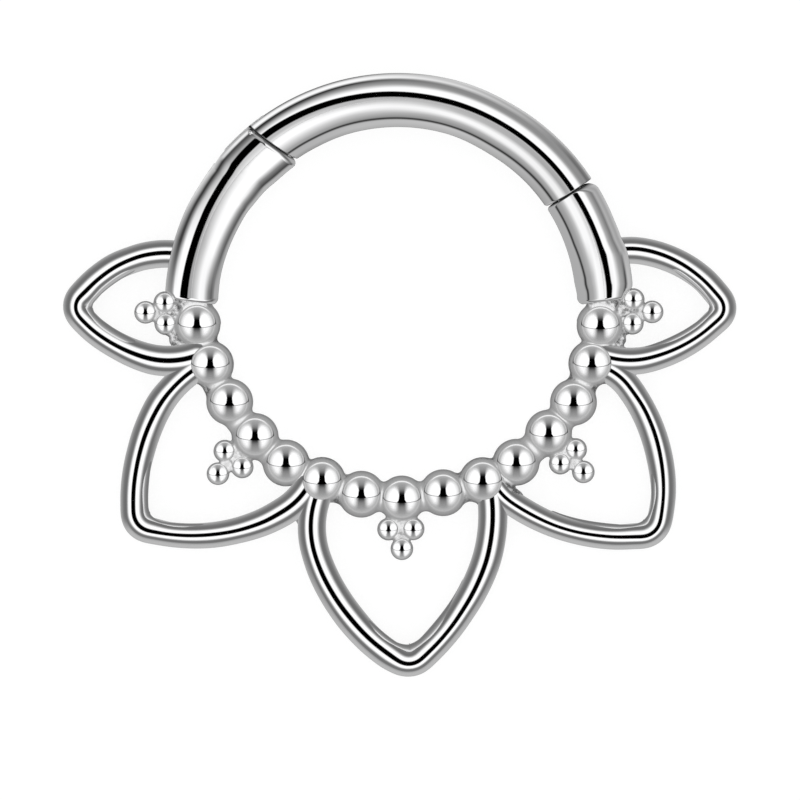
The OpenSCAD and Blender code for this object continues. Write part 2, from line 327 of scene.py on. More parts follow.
def solder_mark(x, y, z):
    """1 where the surface is as soldered, fading to 0 on the polished metal around it."""
    d = np.full(x.shape, 9.0)
    for sx, sy, sr, top in SOLDER:
        d = np.minimum(d, np.hypot(x - sx, y - sy) - sr)
    for i in range(len(PETALS) - 1):
        e1, e2 = LEGS[i][0][1], LEGS[i + 1][1][1]
        d = np.minimum(d, np.hypot(x - 0.5 * (e1[0] + e2[0]), y - 0.5 * (e1[1] + e2[1])) - 0.75)
    beads = np.min([np.hypot(x - bx, y - by) for bx, by in BEAD_XY], 0)
    trios = np.min([np.hypot(x - tx, y - ty) - 0.42 for tx, ty, _ in TRIOS], 0)
    mark = np.maximum(1.0 - smooth_step(0.0, 0.22, d), 0.3 * (1.0 - smooth_step(0.0, 0.22, trios)))
    return mark * smooth_step(0.46, 0.54, beads)


def tube_field(x, y, z):
    return np.hypot(np.hypot(x, y) - RING_R, z - TUBE_Z) - TUBE_R


def wide_tube(rho, z, inner, outer):
    """The tube with its inner and outer half a little wider than the round wire."""
    e = rho - RING_R
    e = np.where(e < 0, e / (1.0 + inner / TUBE_R), e / (1.0 + outer / TUBE_R))
    return np.hypot(e, z - TUBE_Z) - TUBE_R


def hinge_side(x, y):
    """Distance from the hinge seam's middle plane, above zero on the segment's side."""
    return -(x - HINGE_P[0]) * math.sin(HINGE_A) + (y - HINGE_P[1]) * math.cos(HINGE_A)


def close_side(x, y):
    return -x * math.sin(CLOSE_A) + y * math.cos(CLOSE_A) - CLOSE_OFF


def hinge_gap(x, y, z):
    return hinge_side(x, y) + SEAM_LEAN * (z - TUBE_Z)


def close_gap(x, y, z):
    return close_side(x, y) + CLOSE_LEAN * (z - TUBE_Z)


def seam_painted_shade(x, y, z):
    """1 on the walls of the two seams, 0 a hair's breadth away from them; the tube's colour is darkened there as
    painted shade in the seam gaps.
    """
    d = np.minimum(np.abs(hinge_gap(x, y, z)), np.abs(close_gap(x, y, z))) - SEAM_GAP / 2
    return (1.0 - smooth_step(0.008, 0.024, d)) * (y > 0.5)


def tongue_mark(x, y, z):
    """1 on the parts of the segment beyond its two seams: they are ground, not polished."""
    d = np.minimum(hinge_gap(x, y, z), close_gap(x, y, z))
    return (1.0 - smooth_step(-0.03, 0.0, d)) * (y > 0.5)


def pin_frame(x, y):
    a = PIN_A - math.pi / 2
    dx, dy = x - PIN_X, y - PIN_Y
    return dx * math.cos(a) + dy * math.sin(a), -dx * math.sin(a) + dy * math.cos(a)


def segment_field(x, y, z):
    rho, ang = np.hypot(x, y), np.degrees(np.arctan2(y, x))
    shift = 0.035 * (1.0 - smooth_step(58.0, 75.0, ang))
    more = 0.014 + 0.016 * smooth_step(105.0, 118.0, ang)
    f = wide_tube(rho, z, shift + more * smooth_step(40.0, 60.0, ang), -shift - 0.012 * smooth_step(55.0, 75.0, ang))
    f = round_common(f, SEAM_GAP / 2 - hinge_gap(x, y, z), 0.02)
    r = 0.022 + 0.05 * smooth_step(RING_R - 0.30, RING_R - 0.55, rho)
    f = round_common(f, SEAM_GAP / 2 - close_gap(x, y, z), r)
    # tongue with its eye
    u, v = pin_frame(x, y)
    eye = np.hypot(u, v) - EYE_R
    wide = np.maximum(-u, u - 1.15)
    inner = np.maximum(np.maximum(-EYE_R - u, u - 0.77), v)
    plan = np.minimum(eye, np.minimum(wide, inner))
    t = round_common(plan, np.abs(z - TUBE_Z) - SLOT_HALF + 0.02, 0.02)
    t = round_common(t, np.maximum(tube_field(x, y, z), SLOT_WALL + 0.06 - rho), 0.02)
    f = np.minimum(f, t)
    # closing lip
    cu = x * math.cos(CLOSE_A) + y * math.sin(CLOSE_A)
    cv = close_side(x, y)
    lip = np.maximum(LIP_IN * -1 + RING_R - cu, np.maximum(-LIP_L - cv, cv - 0.3))
    lip = round_common(lip, np.abs(z - TUBE_Z) - LIP_T / 2, 0.02)
    lip = round_common(lip, np.maximum(tube_field(x, y, z) + 0.05, rho - RING_R - 0.22), 0.02)
    f = np.minimum(f, lip)
    return np.maximum(f, BORE_R - np.hypot(u, v))


def end_cut(x, y, side):
    """Distance past a shoulder's lower end plane, below zero inside."""
    dx, dy = side * RING_R, END_Y
    ax, ay = -dx, -END_AIM - dy
    n = math.hypot(ax, ay)
    nx, ny = -ay / n, ax / n
    if ny < 0:
        nx, ny = -nx, -ny
    return -((x - dx) * nx + (y - dy) * ny)


def scoop(f, x, y, z, at):
    """The corner of a tube end that is filed out for the ball beside it."""
    d = np.hypot(x - at[0], y - at[1])
    return round_common(f, np.minimum(0.235 - d, z - 0.45), 0.04)


def left_field(x, y, z):
    rho, ang = np.hypot(x, y), np.degrees(np.arctan2(y, x))
    # the shoulder swells a little inwards at the seam
    swell = 0.13 * (1.0 - smooth_step(132.0, 150.0, ang)) + 0.05 * smooth_step(137.0, 146.0, ang) * (1.0 - smooth_step(150.0, 173.0, ang))
    flat = 0.03 * smooth_step(139.5, 143.5, ang) * (1.0 - smooth_step(149.0, 156.0, ang)) + 0.014 * smooth_step(150.0, 156.0, ang)
    f = wide_tube(rho, z, swell, -flat)
    # the small knuckle at the seam's outer end
    knob = np.sqrt((x + 3.25) ** 2 + (y - 3.90) ** 2 + (z - 1.0) ** 2) - 0.09
    f = round_union(f, knob, 0.012)
    inner = smooth_step(RING_R - 0.28, RING_R - 0.62, rho)
    f = round_common(f, SEAM_GAP / 2 + hinge_gap(x, y, z), 0.10 + 0.06 * inner)
    f = round_common(f, end_cut(x, y, -1), 0.07 + 0.09 * inner)
    f = scoop(f, x, y, z, BALL_XY[0][0])
    u, v = pin_frame(x, y)
    # the slot's closed end leaves room for the tongue's outer side when it is fully open
    slot = np.maximum(-EYE_R - TONGUE_GAP - 0.01 - 0.1 * smooth_step(-0.05, 0.1, v) - u, np.abs(z - TUBE_Z) - SLOT_HALF)
    f = round_common(f, -np.maximum(slot, SLOT_WALL - rho), 0.012)
    hole = np.maximum(np.hypot(u, v) - 0.121, z - PIN_TOP + 0.10)
    return np.maximum(f, -hole)


def right_field(x, y, z):
    rho, ang = np.hypot(x, y), np.degrees(np.arctan2(y, x))
    swell = 0.055 * smooth_step(2.0, 6.0, ang) * (1.0 - smooth_step(13.0, 18.0, ang)) - 0.012 * smooth_step(18.0, 22.0, ang)
    f = wide_tube(rho, z, 0.03 * smooth_step(3.0, 8.0, ang), swell)
    inner = smooth_step(RING_R - 0.28, RING_R - 0.58, rho)
    outer = smooth_step(RING_R + 0.06, RING_R + 0.52, rho)
    f = round_common(f, SEAM_GAP / 2 + close_gap(x, y, z), 0.022 + 0.24 * outer + 0.06 * inner)
    f = round_common(f, end_cut(x, y, 1), 0.07 + 0.09 * inner)
    f = scoop(f, x, y, z, BALL_XY[4][1])
    cu = x * math.cos(CLOSE_A) + y * math.sin(CLOSE_A)
    notch = np.maximum(RING_R - LIP_IN - TONGUE_GAP - cu, -LIP_L - 0.04 - close_side(x, y))
    notch = np.maximum(notch, np.abs(z - TUBE_Z) - LIP_T / 2 - TONGUE_GAP)
    notch = np.maximum(notch, rho - RING_R - 0.26)
    return round_common(f, -notch, 0.015)


# ---------------------------------------------------------------------------------------
# Meshing: dual surface of the field on a grid, its points then moved onto the exact surface
# ---------------------------------------------------------------------------------------
CORNERS = [(i, j, k) for i in (0, 1) for j in (0, 1) for k in (0, 1)]
EDGES = [(a, b) for a in CORNERS for b in CORNERS if sum(b) == sum(a) + 1 and sum(abs(p - q) for p, q in zip(a, b)) == 1]


def dual_surface(values, axes):
    inside = values < 0.0
    n0, n1, n2 = values.shape
    count = np.zeros((n0 - 1, n1 - 1, n2 - 1), np.int8)
    for i, j, k in CORNERS:
        count += inside[i : n0 - 1 + i, j : n1 - 1 + j, k : n2 - 1 + k]
    mixed = (count > 0) & (count < 8)
    cells = np.argwhere(mixed)
    index = np.full(mixed.shape, -1, np.int64)
    index[mixed] = np.arange(len(cells))
    acc, hits = np.zeros((len(cells), 3)), np.zeros(len(cells))
    for a, b in EDGES:
        ca, cb = cells + a, cells + b
        fa, fb = values[tuple(ca.T)], values[tuple(cb.T)]
        m = (fa < 0.0) != (fb < 0.0)
        t = (fa[m] / (fa[m] - fb[m]))[:, None]
        pa = np.stack([axes[d][ca[m, d]] for d in range(3)], 1)
        pb = np.stack([axes[d][cb[m, d]] for d in range(3)], 1)
        acc[m] += pa + t * (pb - pa)
        hits[m] += 1
    points = acc / hits[:, None]
    quads = []
    for d in range(3):
        lo = [slice(None)] * 3
        hi = [slice(None)] * 3
        lo[d], hi[d] = slice(0, -1), slice(1, None)
        cross = inside[tuple(lo)] != inside[tuple(hi)]
        e = np.argwhere(cross)
        p, q = (d + 1) % 3, (d + 2) % 3
        e = e[(e[:, p] > 0) & (e[:, q] > 0) & (e[:, p] < values.shape[p] - 1) & (e[:, q] < values.shape[q] - 1)]

        def at(dp, dq):
            c = e.copy()
            c[:, p] += dp
            c[:, q] += dq
            return index[tuple(c.T)]

        quad = np.stack([at(-1, -1), at(0, -1), at(0, 0), at(-1, 0)], 1)
        out = ~inside[tuple(e.T)]
        quad[out] = quad[out][:, ::-1]
        quads.append(quad)
    return points, np.concatenate(quads)


def slope(field, p, eps=4e-4):
    g = np.empty_like(p)
    for d in range(3):
        a, b = p.copy(), p.copy()
        a[:, d] += eps
        b[:, d] -= eps
        g[:, d] = (field(a[:, 0], a[:, 1], a[:, 2]) - field(b[:, 0], b[:, 1], b[:, 2])) / (2 * eps)
    return g


def onto(field, p, steps=3, limit=0.03):
    for _ in range(steps):
        g = slope(field, p)
        f = field(p[:, 0], p[:, 1], p[:, 2])
        move = -(f / np.maximum((g * g).sum(1), 0.2))[:, None] * g
        length = np.linalg.norm(move, axis=1, keepdims=True)
        p = p + move * np.minimum(1.0, limit / np.maximum(length, 1e-12))
    g = slope(field, p)
    return p, g / np.maximum(np.linalg.norm(g, axis=1, keepdims=True), 1e-9)


def mesh_object(name, points, quads, normals, marks=None):
    """A closed mesh with the field's own normals; points in millimetres."""
    me = bpy.data.meshes.new(name)
    me.vertices.add(len(points))
    me.vertices.foreach_set("co", (points * MM).astype(np.float32).ravel())
    me.loops.add(quads.size)
    me.loops.foreach_set("vertex_index", quads.astype(np.int32).ravel())
    me.polygons.add(len(quads))
    me.polygons.foreach_set("loop_start", np.arange(0, quads.size, quads.shape[1], dtype=np.int32))
    me.polygons.foreach_set("use_smooth", np.ones(len(quads), bool))
    me.update(calc_edges=True)
    me.validate()
    if normals is not None:
        me.normals_split_custom_set_from_vertices(normals.tolist())
    for key, value in (marks or {}).items():
        layer = me.attributes.new(key, "FLOAT", "POINT")
        layer.data.foreach_set("value", value.astype(np.float32))
    ob = bpy.data.objects.new(name, me)
    bpy.context.scene.collection.objects.link(ob)
    return ob


def evaluate(field, a0, a1, a2, to_xyz):
    """The field on a grid, worked out coarsely first and finely only near the surface."""
    n = (len(a0), len(a1), len(a2))
    step = 4
    coarse = [np.unique(np.append(np.arange(0, m, step), m - 1)) for m in n]
    g = np.meshgrid(*[ax[c] for ax, c in zip((a0, a1, a2), coarse)], indexing="ij")
    x, y, z = to_xyz(*g)
    rough = field(x.ravel(), y.ravel(), z.ravel()).reshape(g[0].shape)
    i = [np.clip(np.searchsorted(c, np.arange(m), side="right") - 1, 0, len(c) - 1) for c, m in zip(coarse, n)]
    values = rough[np.ix_(*i)].copy()
    near = np.zeros(rough.shape, bool)
    reach = 1.9 * step * max(
        float(np.median(np.diff(a0))), float(np.median(np.diff(a1))), float(np.median(np.diff(a2)))
    )
    near = np.abs(rough) < reach
    todo = np.argwhere(near[np.ix_(*i)])
    x, y, z = to_xyz(a0[todo[:, 0]], a1[todo[:, 1]], a2[todo[:, 2]])
    out = np.empty(len(todo))
    for s in range(0, len(todo), 400000):
        e = slice(s, s + 400000)
        out[e] = field(x[e], y[e], z[e])
    values[tuple(todo.T)] = out
    return values


def plain(x, y, z):
    return x, y, z


def polar(rho, ang, z):
    return rho * np.cos(ang), rho * np.sin(ang), z


def swept(middle, outer, inner, half, height, around, low=None):
    """A closed roll along a line in plan, in millimetres: its half width to the left and to the right of the line,
    its half height and its middle height, one value for each point, and its reach below the middle height where that
    isn't the half height; the ends are rounded."""
    low = half if low is None else low
    t = np.gradient(middle, axis=0)
    t /= np.linalg.norm(t, axis=1, keepdims=True)
    rings = []
    lean = (80.0, 62.0, 45.0, 30.0, 15.0)
    for k, sign, beta in (
        [(0, -1, b) for b in lean] + [(k, 0, 0.0) for k in range(len(middle))] + [(-1, 1, b) for b in lean[::-1]]
    ):
        b = math.radians(beta)
        c = middle[k] + sign * half[k] * math.sin(b) * t[k]
        rings.append((*c, -t[k, 1], t[k, 0], outer[k] * math.cos(b), inner[k] * math.cos(b), half[k] * math.cos(b), height[k], low[k] * math.cos(b)))
    ring = np.array(rings)[:, :, None]
    a = np.linspace(0, 2 * math.pi, around, endpoint=False)[None, :]
    side = np.cos(a) * np.where(np.cos(a) > 0, ring[:, 4], ring[:, 5])
    p = np.stack([ring[:, 0] + ring[:, 2] * side, ring[:, 1] + ring[:, 3] * side, ring[:, 7] + np.where(np.sin(a) > 0, ring[:, 6], ring[:, 8]) * np.sin(a)], 2)
    across = np.roll(p, -1, axis=1) - np.roll(p, 1, axis=1)
    nrm = np.cross(across, np.gradient(p, axis=0))
    nrm /= np.maximum(np.linalg.norm(nrm, axis=2, keepdims=True), 1e-12)
    rows, cols = p.shape[:2]
    k, i = np.meshgrid(np.arange(rows - 1), np.arange(cols), indexing="ij")
    j = (i + 1) % cols
    quads = np.stack([k * cols + i, k * cols + j, (k + 1) * cols + j, (k + 1) * cols + i], 2).reshape(-1, 4)
    first, last = rows * cols, rows * cols + 1
    e = np.arange(0, cols, 2)
    caps = [
        np.stack([np.full(len(e), first), (e + 2) % cols, e + 1, e], 1),
        np.stack([np.full(len(e), last), (rows - 1) * cols + e, (rows - 1) * cols + e + 1, (rows - 1) * cols + (e + 2) % cols], 1),
    ]
    ends = np.array([p[0].mean(0), p[-1].mean(0)])
    flat = np.zeros(1)
    points = np.concatenate([p.reshape(-1, 3), ends])
    normals = np.concatenate([nrm.reshape(-1, 3), [[*-t[0], *flat], [*t[-1], *flat]]])
    return points, np.concatenate([quads, *caps]), normals


def joined(name, parts):
    """One piece out of several closed rolls."""
    base = np.cumsum([0] + [len(p) for p, _, _ in parts[:-1]])
    return mesh_object(
        name,
        np.concatenate([p for p, _, _ in parts]),
        np.concatenate([q + b for (_, q, _), b in zip(parts, base)]),
        np.concatenate([n for _, _, n in parts]),
    )


def build(name, field, axes, to_xyz=plain, dense=False, marks=None):
    if dense:
        g = np.meshgrid(*axes, indexing="ij")
        x, y, z = to_xyz(*g)
        values = field(x.ravel(), y.ravel(), z.ravel()).reshape(g[0].shape)
    else:
        values = evaluate(field, *axes, to_xyz)
    points, quads = dual_surface(values, axes)
    x, y, z = to_xyz(points[:, 0], points[:, 1], points[:, 2])
    points, normals = onto(field, np.stack([x, y, z], 1))
    extra = {k: fn(points[:, 0], points[:, 1], points[:, 2]) for k, fn in (marks or {}).items()}
    ob = mesh_object(name, points, quads, normals, extra)
    return ob


def axis(lo, hi, step):
    return np.linspace(lo, hi, int(round((hi - lo) / step)) + 1)


def graded(*parts):
    """One axis out of stretches (from, to, step)."""
    out = [axis(lo, hi, st) for lo, hi, st in parts]
    return np.unique(np.round(np.concatenate(out), 9))


def lathe(name, spots, profile, mid, around=72):
    """The same closed turned shape at each spot (x, y, scale about the height mid): profile is (radius, height)
    pairs from the top to the underside."""
    prof = np.array(profile)
    rings = len(prof) - 2
    pts, quads, tris = [], [], []
    a = np.linspace(0, 2 * math.pi, around, endpoint=False)
    base = 0
    for sx, sy, k in spots:
        p = [[sx, sy, mid + k * (prof[0, 1] - mid)]]
        for r, h in prof[1:-1]:
            p.extend(np.stack([sx + k * r * np.cos(a), sy + k * r * np.sin(a), np.full(around, mid + k * (h - mid))], 1).tolist())
        p.append([sx, sy, mid + k * (prof[-1, 1] - mid)])
        for j in range(rings - 1):
            o = base + 1 + j * around
            for i in range(around):
                n = (i + 1) % around
                quads.append([o + i, o + around + i, o + around + n, o + n])
        last = base + 1 + (rings - 1) * around
        for i in range(around):
            n = (i + 1) % around
            tris.append([base, base + 1 + i, base + 1 + n])
            tris.append([last + n, last + i, base + 1 + rings * around])
        pts.extend(p)
        base = len(pts)
    me = bpy.data.meshes.new(name)
    me.from_pydata([[c * MM for c in p] for p in pts], [], quads + tris)
    me.polygons.foreach_set("use_smooth", np.ones(len(me.polygons), bool))
    me.update()
    ob = bpy.data.objects.new(name, me)
    bpy.context.scene.collection.objects.link(ob)
    return ob


# ---------------------------------------------------------------------------------------
# The pieces
# ---------------------------------------------------------------------------------------
d2r = math.radians

RHO = axis(3.80, 5.35, 0.025)
HEIGHT = axis(-0.06, 1.30, 0.025)
segment = build(
    "segment_tube", segment_field,
    (RHO, np.radians(graded((25, 36.5, 0.2), (36.5, 125, 1.0), (125, 142, 0.2))), HEIGHT), polar, True,
    {"seam": seam_painted_shade, "tongue": tongue_mark},
)
left = build(
    "left_shoulder", left_field,
    (RHO, np.radians(graded((123, 144, 0.2), (144, 176, 1.0), (176, 183, 0.25))), HEIGHT), polar, True,
    {"seam": seam_painted_shade},
)
right = build(
    "right_shoulder", right_field,
    (RHO, np.radians(graded((-3, 4, 0.25), (4, 26, 1.0), (26, 37, 0.2))), HEIGHT), polar, True,
    {"seam": seam_painted_shade},
)

petals, rolls = [], []
for i in range(len(PETALS)):
    middle, way = wire_path(i)
    even = np.full(len(way), WIRE_R)
    petals.append(joined("petal_%d" % (i + 1), [
        swept(middle, WIRE_R + bent(i, way, 1), WIRE_R + bent(i, way, 2), even, np.full(len(way), WIRE_Z), 48)
    ]))
    # the ledge's outline, found between a point inside the petal and the wire
    tip_way = max(rc * (a1 - a0) for rc, a0, a1 in (LEGS[i][k][0][0][2:] for k in (0, 1)))
    aim = middle[np.abs(way) < tip_way + LEDGES[i][7] + 0.1]
    eye = np.array(PETALS[i][:2]) - 1.5 * np.array([math.cos(math.radians(PETALS[i][2])), math.sin(math.radians(PETALS[i][2]))])
    lo, hi = np.zeros(len(aim)), np.ones(len(aim))
    for _ in range(34):
        t = 0.5 * (lo + hi)
        at = eye + t[:, None] * (aim - eye)
        far = ledge(i, at[:, 0], at[:, 1])[0] > 0
        lo, hi = np.where(far, t, lo), np.where(far, hi, t)
    rim = eye + lo[:, None] * (aim - eye)
    _, crease, fade = ledge(i, rim[:, 0], rim[:, 1])
    # the roll is as wide as the rim is from the crease, and as high as the wire's own surface is at the crease
    near, near_way = wire_path(i, 0.01)
    gap = np.hypot(rim[:, None, 0] - near[None, :, 0], rim[:, None, 1] - near[None, :, 1]).min(1)
    r = eased(np.maximum((gap - crease) / 0.8, 0.06), 3)
    at = rim - 0.8 * r[:, None] * square(rim)
    gap = np.hypot(at[:, None, 0] - near[None, :, 0], at[:, None, 1] - near[None, :, 1])
    share = np.minimum(gap.min(1) / (WIRE_R + bent(i, near_way[gap.argmin(1)], 2)), 0.96)
    high = eased(WIRE_Z + WIRE_R * np.sqrt(1.0 - share ** 2) - 0.98 * r, 3)
    # below, it runs down to the wire's underside
    high = high - 0.12 * fade
    rolls.append(swept(rim - r[:, None] * square(rim), r, r, r, high, 40, high - 0.07))
ledges = joined("tip_ledges", rolls)
band = build("bead_band", band_field, (axis(-6.10, 6.15, 0.035), axis(-5.75, 0.75, 0.035), axis(-0.05, 0.72, 0.035)), marks={"solder": solder_mark})


def dome_profile(r, zc, last=115.0):
    prof = [(0.0, zc + r)]
    for t in np.linspace(0, 1, 44)[1:]:
        a = math.radians(last) * t
        prof.append((r * math.sin(a), zc + r * math.cos(a)))
    prof.append((0.0, prof[-1][1] - 0.02))
    return prof


domes = lathe(
    "bead_domes",
    [(bx, by, 1.0 + random.uniform(-0.008, 0.008)) for bx, by in BEAD_XY],
    dome_profile(DOME_R, DOME_Z), DOME_Z,
)
spots = []
for three in BALL_XY:
    for (bx, by), k in zip(three, (0.83, 0.83, 0.86)):
        spots.append((bx, by, k + random.uniform(-0.01, 0.01)))
ball = [(0.0, BALL_Z + BALL_R)]
for t in np.linspace(0, 1, 30)[1:-1]:
    ball.append((BALL_R * math.sin(t * math.pi * 0.92), BALL_Z + BALL_R * math.cos(t * math.pi * 0.92)))
ball.append((0.0, BALL_Z + BALL_R * math.cos(math.pi * 0.92)))
balls = lathe("trio_balls", spots, ball, BALL_Z - 0.02, 56)

for piece in (left, right, *petals, ledges, band, domes, balls):
    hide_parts("ring_body")
    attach(piece, "ring")
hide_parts("hinged_segment")
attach(segment, "segment")


# ---------------------------------------------------------------------------------------
# Materials
# ---------------------------------------------------------------------------------------
def new_material(name):
    m = bpy.data.materials.new(name)
    m.use_nodes = True
    m.node_tree.nodes.clear()
    return m, m.node_tree.nodes, m.node_tree.links


def steel(name, colour, rough, spread, bump, mark=None, mark_shade=1.0, mark_rough=0.0, specks=False, ground_at=None):
    m, n, l = new_material(name)
    out = n.new("ShaderNodeOutputMaterial")
    b = n.new("ShaderNodeBsdfPrincipled")
    b.inputs["Metallic"].default_value = 1.0
    tc = n.new("ShaderNodeTexCoord")
    cloud = n.new("ShaderNodeTexNoise")
    cloud.inputs["Scale"].default_value = 900.0
    cloud.inputs["Detail"].default_value = 3.0
    l.new(tc.outputs["Object"], cloud.inputs["Vector"])
    ramp = n.new("ShaderNodeMapRange")
    ramp.inputs["From Min"].default_value = 0.3
    ramp.inputs["From Max"].default_value = 0.7
    ramp.inputs["To Min"].default_value = rough
    ramp.inputs["To Max"].default_value = rough + spread
    l.new(cloud.outputs["Fac"], ramp.inputs["Value"])
    if not mark:
        l.new(ramp.outputs["Result"], b.inputs["Roughness"])
    tint = n.new("ShaderNodeMix")
    tint.data_type = "RGBA"
    tint.inputs["A"].default_value = (*colour, 1)
    tint.inputs["B"].default_value = (*[c * 0.97 for c in colour], 1)
    l.new(cloud.outputs["Fac"], tint.inputs["Factor"])
    shade = tint.outputs["Result"]
    if specks:
        grit = n.new("ShaderNodeTexNoise")
        grit.inputs["Scale"].default_value = 9000.0
        grit.inputs["Detail"].default_value = 2.5
        l.new(tc.outputs["Object"], grit.inputs["Vector"])
        sharp = n.new("ShaderNodeMapRange")
        sharp.inputs["From Min"].default_value = 0.42
        sharp.inputs["From Max"].default_value = 0.60
        l.new(grit.outputs["Fac"], sharp.inputs["Value"])
    # the mark attribute mixes in a darker colour: on the tubes it is painted shade in the seams, on the cast band it is
    # the solder's own duller, speckled tone
    if mark:
        at = n.new("ShaderNodeAttribute")
        at.attribute_name = mark
        dark = n.new("ShaderNodeMix")
        dark.data_type = "RGBA"
        l.new(at.outputs["Fac"], dark.inputs["Factor"])
        l.new(shade, dark.inputs["A"])
        dark.inputs["B"].default_value = (*[c * mark_shade for c in colour], 1)
        if specks:
            two = n.new("ShaderNodeMix")
            two.data_type = "RGBA"
            two.inputs["A"].default_value = (*[c * mark_shade * 0.45 for c in colour], 1)
            two.inputs["B"].default_value = (*[c * mark_shade * 1.35 for c in colour], 1)
            l.new(sharp.outputs["Result"], two.inputs["Factor"])
            l.new(two.outputs["Result"], dark.inputs["B"])
        shade = dark.outputs["Result"]
        more = n.new("ShaderNodeMath")
        more.operation = "MULTIPLY_ADD"
        l.new(at.outputs["Fac"], more.inputs[0])
        more.inputs[1].default_value = mark_rough
        l.new(ramp.outputs["Result"], more.inputs[2])
        rest = more.outputs[0]
        if ground_at:
            at = n.new("ShaderNodeAttribute")
            at.attribute_name = ground_at
            extra = n.new("ShaderNodeMath")
            extra.operation = "MULTIPLY_ADD"
            l.new(at.outputs["Fac"], extra.inputs[0])
            extra.inputs[1].default_value = 0.42
            l.new(rest, extra.inputs[2])
            rest = extra.outputs[0]
        l.new(rest, b.inputs["Roughness"])
    l.new(shade, b.inputs["Base Color"])
    fine = n.new("ShaderNodeTexNoise")
    fine.inputs["Scale"].default_value = 5200.0
    fine.inputs["Detail"].default_value = 2.0
    l.new(tc.outputs["Object"], fine.inputs["Vector"])
    bm = n.new("ShaderNodeBump")
    bm.inputs["Strength"].default_value = bump
    bm.inputs["Distance"].default_value = 0.00001
    l.new(fine.outputs["Fac"], bm.inputs["Height"])
    l.new(bm.outputs["Normal"], b.inputs["Normal"])
    l.new(b.outputs["BSDF"], out.inputs["Surface"])
    return m


polished = steel("steel_polished", (0.90, 0.90, 0.905), 0.03, 0.02, 0.02)
# the seam attribute darkens the tube's colour to almost black on the seam walls: painted shade in the gaps
tube_steel = steel("steel_tube", (0.90, 0.90, 0.905), 0.03, 0.02, 0.02, "seam", 0.02, 0.0, False, "tongue")
cast = steel("steel_cast", (0.90, 0.90, 0.905), 0.05, 0.05, 0.10, "solder", 0.66, 0.20, True)
ground = steel("steel_ground", (0.62, 0.62, 0.63), 0.25, 0.10, 0.2)
for o in (segment, left, right):
    o.data.materials.append(tube_steel)
for o in (*petals, ledges, domes, balls):
    o.data.materials.append(polished)
band.data.materials.append(cast)
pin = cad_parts["hinge_pin"]
if pin.data.materials:
    pin.material_slots[0].material = ground
else:
    pin.data.materials.append(ground)


# ---------------------------------------------------------------------------------------
# Studio: a plain pale floor, soft light, and reflection domes that only the metal sees
# ---------------------------------------------------------------------------------------
def math_node(n, l, op, a, b=None, clamp=False):
    m = n.new("ShaderNodeMath")
    m.operation = op
    m.use_clamp = clamp
    for i, v in enumerate((a, b)):
        if v is None:
            continue
        if isinstance(v, (int, float)):
            m.inputs[i].default_value = v
        else:
            l.new(v, m.inputs[i])
    return m.outputs[0]


def dome(name, radius, paint, receivers, strength=1.0):
    """A reflection dome: a big sphere that only mirror-like rays of its receivers see, and that adds
    light without hiding what is behind it."""
    bpy.ops.mesh.primitive_uv_sphere_add(segments=48, ring_count=24, radius=radius, location=(0, 0, 0))
    o = bpy.context.object
    o.name = name
    m, n, l = new_material(name)
    out = n.new("ShaderNodeOutputMaterial")
    geo = n.new("ShaderNodeNewGeometry")
    nv = n.new("ShaderNodeVectorMath")
    nv.operation = "NORMALIZE"
    l.new(geo.outputs["Position"], nv.inputs[0])
    sep = n.new("ShaderNodeSeparateXYZ")
    l.new(nv.outputs[0], sep.inputs[0])
    colour = paint(n, l, sep.outputs[0], sep.outputs[1], sep.outputs[2])
    em = n.new("ShaderNodeEmission")
    em.inputs["Strength"].default_value = strength
    l.new(colour, em.inputs["Color"])
    tr = n.new("ShaderNodeBsdfTransparent")
    add = n.new("ShaderNodeAddShader")
    l.new(em.outputs[0], add.inputs[0])
    l.new(tr.outputs[0], add.inputs[1])
    l.new(add.outputs[0], out.inputs["Surface"])
    m.cycles.emission_sampling = "NONE"
    o.data.materials.append(m)
    o.visible_camera = o.visible_diffuse = o.visible_shadow = False
    o.visible_transmission = o.visible_volume_scatter = False
    col = bpy.data.collections.new(name + "_receivers")
    for r in receivers:
        col.objects.link(r)
    o.light_linking.receiver_collection = col
    return o


def lean(n, l, z):
    """Sine of half the angle from straight up: 0 straight up, 0.71 level, 1 straight down. On a round
    wire seen from above it is the share of the half width at which that direction is mirrored."""
    h = math_node(n, l, "MULTIPLY", math_node(n, l, "SUBTRACT", 1.0, z), 0.5)
    return math_node(n, l, "SQRT", math_node(n, l, "MAXIMUM", h, 0.0))


def grey(n, l, value, stops):
    """A grey by a value from 0 to 1: stops are (value, grey)."""
    r = n.new("ShaderNodeValToRGB")
    e = r.color_ramp.elements
    e[0].position, e[1].position = stops[0][0], stops[-1][0]
    e[0].color = (stops[0][1],) * 3 + (1,)
    e[1].color = (stops[-1][1],) * 3 + (1,)
    for d, g in stops[1:-1]:
        k = e.new(d)
        k.color = (g, g, g, 1)
    l.new(value, r.inputs["Fac"])
    return r.outputs["Color"]


def between(n, l, v, lo, hi, a=0.0, b=1.0, smooth=False):
    r = n.new("ShaderNodeMapRange")
    if smooth:
        r.interpolation_type = "SMOOTHSTEP"
    for key, val in (("From Min", lo), ("From Max", hi), ("To Min", a), ("To Max", b)):
        if isinstance(val, (int, float)):
            r.inputs[key].default_value = val
        else:
            l.new(val, r.inputs[key])
    l.new(v, r.inputs["Value"])
    return r.outputs[0]


def blend(n, l, t, a, b):
    m = n.new("ShaderNodeMix")
    m.data_type = "RGBA"
    l.new(t, m.inputs["Factor"])
    for key, val in (("A", a), ("B", b)):
        if isinstance(val, (int, float)):
            m.inputs[key].default_value = (val, val, val, 1)
        else:
            l.new(val, m.inputs[key])
    return m.outputs["Result"]


def around(n, l, x, y, mid):
    """The direction in plan, in degrees from +X, within 180 either way of mid."""
    m = n.new("ShaderNodeMath")
    m.operation = "WRAP"
    l.new(math_node(n, l, "MULTIPLY", math_node(n, l, "ARCTAN2", y, x), 180 / math.pi), m.inputs[0])
    m.inputs[1].default_value = mid + 180.0
    m.inputs[2].default_value = mid - 180.0
    return m.outputs[0]


